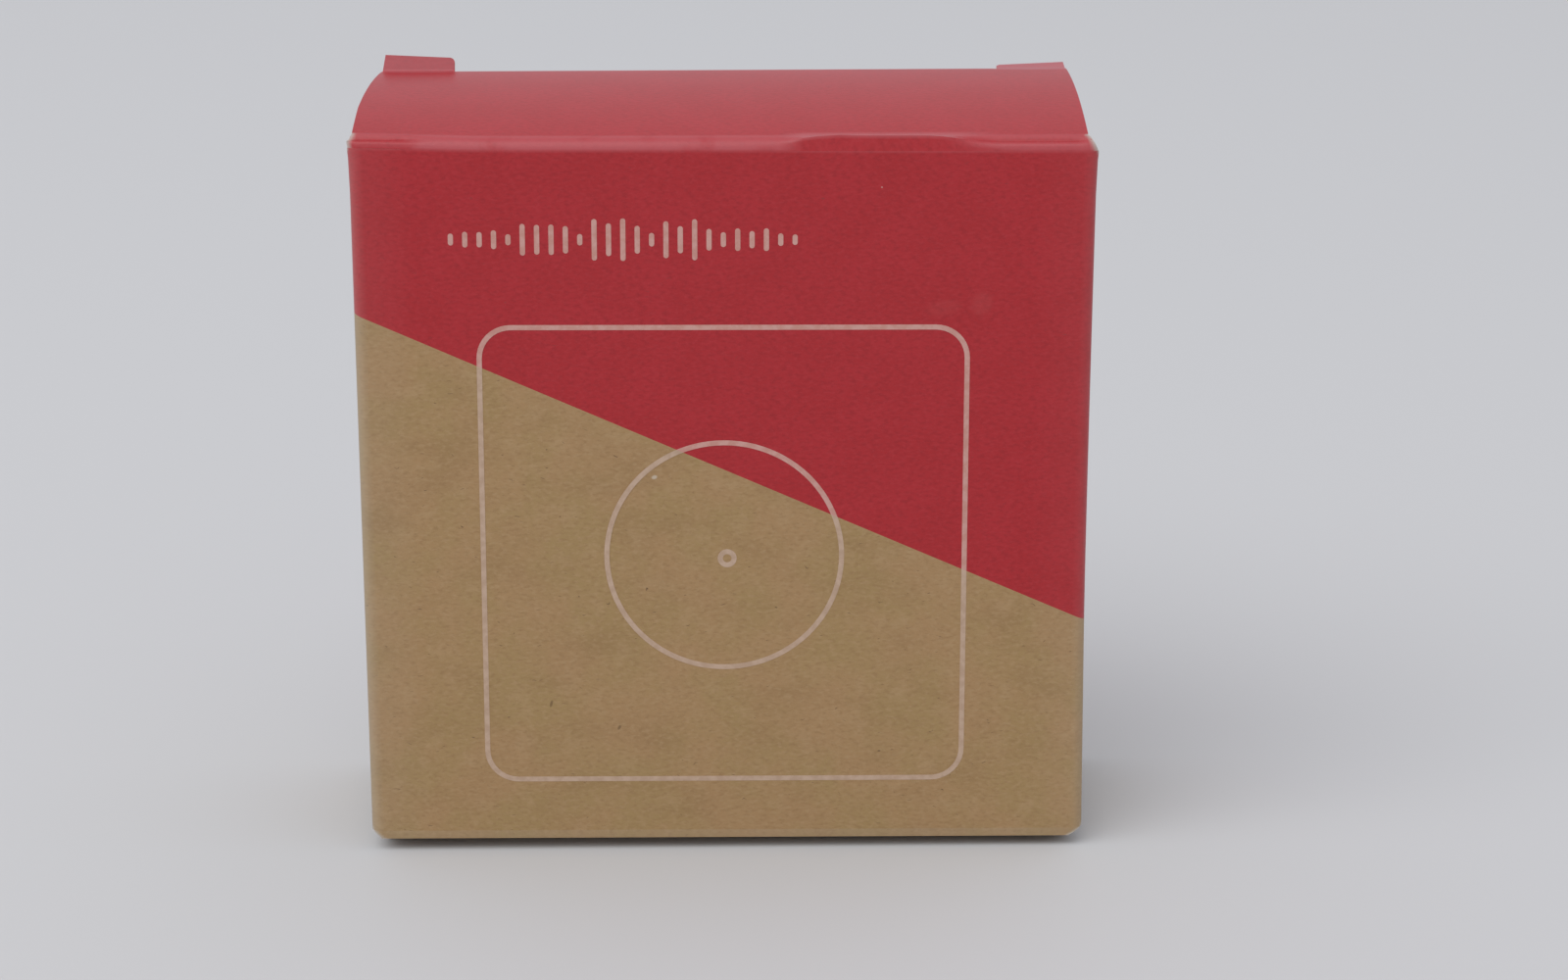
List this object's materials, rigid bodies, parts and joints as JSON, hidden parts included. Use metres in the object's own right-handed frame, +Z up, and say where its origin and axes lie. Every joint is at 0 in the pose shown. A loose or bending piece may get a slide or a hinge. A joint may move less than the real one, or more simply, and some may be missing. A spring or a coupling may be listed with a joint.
{
  "type": "tuck-end folding carton",
  "caption": "Small closed folding carton of creased kraft board with a hinged top lid, a hinged bottom lid and tuck flaps.",
  "frame": {"origin": "middle of the carton's footprint on the surface it stands on", "axes": "+Z up, +X to the viewer's right, and the front panel, which carries both lids, faces -Y"},
  "size_m": [0.09, 0.032, 0.0961],
  "materials": {
    "printed_board": "matte",
    "red_board": "matte"
  },
  "bodies": {
    "carton": {"carton_body": "printed_board"},
    "top_closure": {"top_lid": "red_board"},
    "top_tuck": {"top_tuck_flap": "red_board"},
    "bottom_closure": {"bottom_lid": "printed_board"},
    "bottom_tuck": {"bottom_tuck_flap": "printed_board"}
  },
  "joints": [
    {"name": "top_lid_crease", "type": "hinge", "parent": "carton", "child": "top_closure", "pos_m": [0, -0.01565, 0.0907], "axis": [1, 0, 0], "range_deg": [0, 120]},
    {"name": "top_tuck_crease", "type": "hinge", "parent": "top_closure", "child": "top_tuck", "pos_m": [0, 0.014, 0.0936], "axis": [-1, 0, 0], "range_deg": [0, 48]},
    {"name": "bottom_lid_crease", "type": "hinge", "parent": "carton", "child": "bottom_closure", "pos_m": [0, -0.01565, 0.00141], "axis": [-1, 0, 0], "range_deg": [0, 120]},
    {"name": "bottom_tuck_crease", "type": "hinge", "parent": "bottom_closure", "child": "bottom_tuck", "pos_m": [0, 0.014, 0.00071], "axis": [1, 0, 0], "range_deg": [0, 48]}
  ],
  "couplings": [
    {"joint": "top_tuck_crease", "follows": "top_lid_crease", "ratio": 0.4},
    {"joint": "bottom_tuck_crease", "follows": "bottom_lid_crease", "ratio": 0.4}
  ]
}
